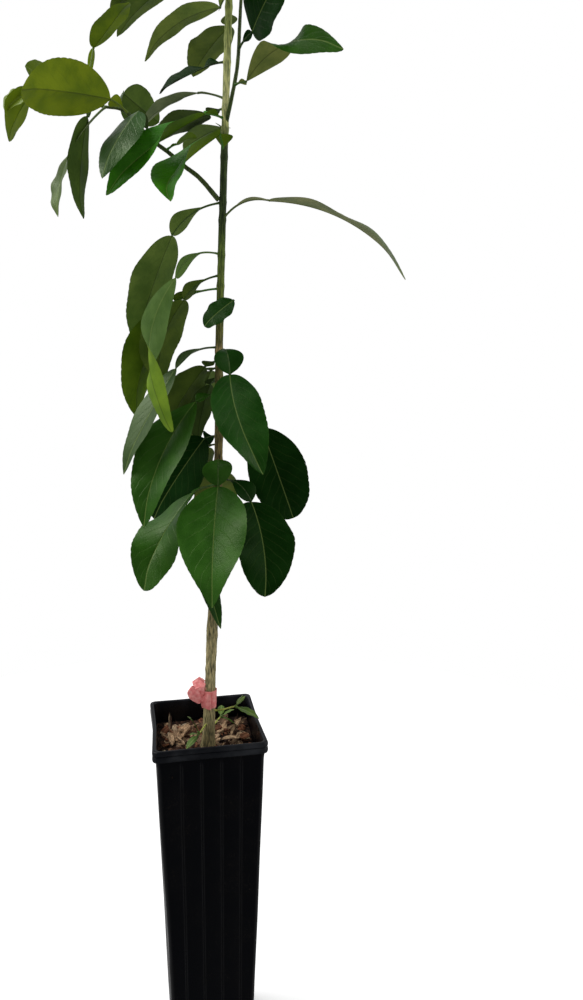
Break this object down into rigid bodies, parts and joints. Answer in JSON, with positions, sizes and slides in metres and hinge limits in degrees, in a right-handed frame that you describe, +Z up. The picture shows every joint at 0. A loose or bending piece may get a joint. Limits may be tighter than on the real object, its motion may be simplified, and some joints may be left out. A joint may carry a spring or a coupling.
{
  "type": "potted grapefruit tree",
  "caption": "Young potted grapefruit tree: a slender leaning trunk with side shoots and glossy wing-stalked leaves, standing in a tall square black nursery pot.",
  "frame": {"origin": "middle of the pot's flat underside, at floor level", "axes": "+Z up along the pot; -Y is the pot's front, which the picture shows; +X to the right of someone who looks at the front"},
  "size_m": [0.3076, 0.2293, 1.1982],
  "materials": {
    "pot": "satin",
    "potting_mix": "matte",
    "bark": "matte",
    "green_wood": "satin",
    "ribbon": "satin",
    "leaves": "satin",
    "sprouts": "satin"
  },
  "bodies": {
    "root": {"pot": "pot", "potting_mix": "potting_mix", "trunk": "bark", "ribbon": "ribbon", "left_bough": "green_wood", "right_bough": "green_wood", "left_foliage": "leaves", "right_foliage": "leaves", "sprout_right": "sprouts", "sprout_left": "sprouts", "sprout_behind": "sprouts", "leaf_low_behind": "leaves", "leaf_low_left": "leaves", "leaf_low_right": "leaves", "leaf_low_front": "leaves", "leaf_dark_left": "leaves", "leaf_dark_right": "leaves", "leaf_big_left": "leaves", "leaf_olive_small": "leaves", "leaf_olive_mid": "leaves", "leaf_mid_front": "leaves", "leaf_narrow_left": "leaves", "leaf_young_oval": "leaves", "leaf_outer_left": "leaves", "leaf_inner_left": "leaves", "leaf_twisted_left": "leaves", "leaf_arching_right": "leaves", "leaf_hanging_left": "leaves", "leaf_bright_left": "leaves", "leaf_veined_left": "leaves", "leaf_long_left": "leaves", "leaf_olive_upper": "leaves", "leaf_thin_stalked": "leaves", "leaf_dark_upper": "leaves", "leaf_broad_upper": "leaves", "leaf_drooping_upper": "leaves", "leaf_top_left_a": "leaves", "leaf_top_left_b": "leaves", "leaf_far_low_a": "leaves", "leaf_far_low_b": "leaves", "leaf_far_mid_a": "leaves", "leaf_far_mid_b": "leaves", "leaf_curled_right": "leaves", "leaf_upright_right": "leaves", "leaf_top_01": "leaves", "leaf_top_03": "leaves", "leaf_top_04": "leaves", "leaf_top_05": "leaves", "leaf_top_06": "leaves", "leaf_top_07": "leaves", "leaf_top_08": "leaves", "leaf_top_09": "leaves", "leaf_top_10": "leaves"}
  },
  "joints": []
}
